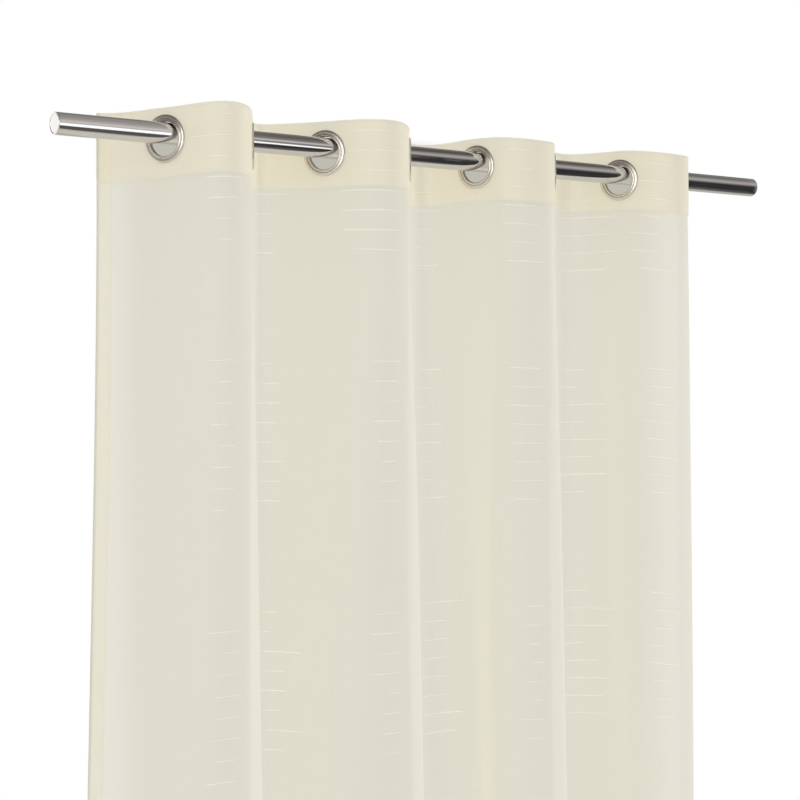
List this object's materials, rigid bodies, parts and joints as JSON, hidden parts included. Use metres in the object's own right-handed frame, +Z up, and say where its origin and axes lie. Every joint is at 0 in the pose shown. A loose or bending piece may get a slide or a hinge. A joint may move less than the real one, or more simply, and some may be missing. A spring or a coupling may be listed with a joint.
{
  "type": "eyelet curtain on rod",
  "caption": "Sheer voile curtain with a stiffened eyelet heading, hanging in deep soft folds from a plain round rod.",
  "frame": {"origin": "on the rod's axis, at the middle of its length", "axes": "+X along the rod to the right as seen from the room, -Y towards the room, +Z up"},
  "size_m": [1.08, 0.1369, 2.4077],
  "materials": {
    "voile": "sheer ivory voile with a slub and short raised dashes along the weft",
    "heading": "dense woven heading tape, matt",
    "eyelet_metal": "satin nickel plate",
    "rod_metal": "polished chrome"
  },
  "bodies": {
    "root": {"panel": "voile", "heading_tape": "heading", "rod": "rod_metal", "eyelet_1_front": "eyelet_metal", "eyelet_1_back": "eyelet_metal", "eyelet_2_front": "eyelet_metal", "eyelet_2_back": "eyelet_metal", "eyelet_3_front": "eyelet_metal", "eyelet_3_back": "eyelet_metal", "eyelet_4_front": "eyelet_metal", "eyelet_4_back": "eyelet_metal", "eyelet_5_front": "eyelet_metal", "eyelet_5_back": "eyelet_metal", "eyelet_6_front": "eyelet_metal", "eyelet_6_back": "eyelet_metal", "eyelet_7_front": "eyelet_metal", "eyelet_7_back": "eyelet_metal", "eyelet_8_front": "eyelet_metal", "eyelet_8_back": "eyelet_metal"}
  },
  "joints": []
}
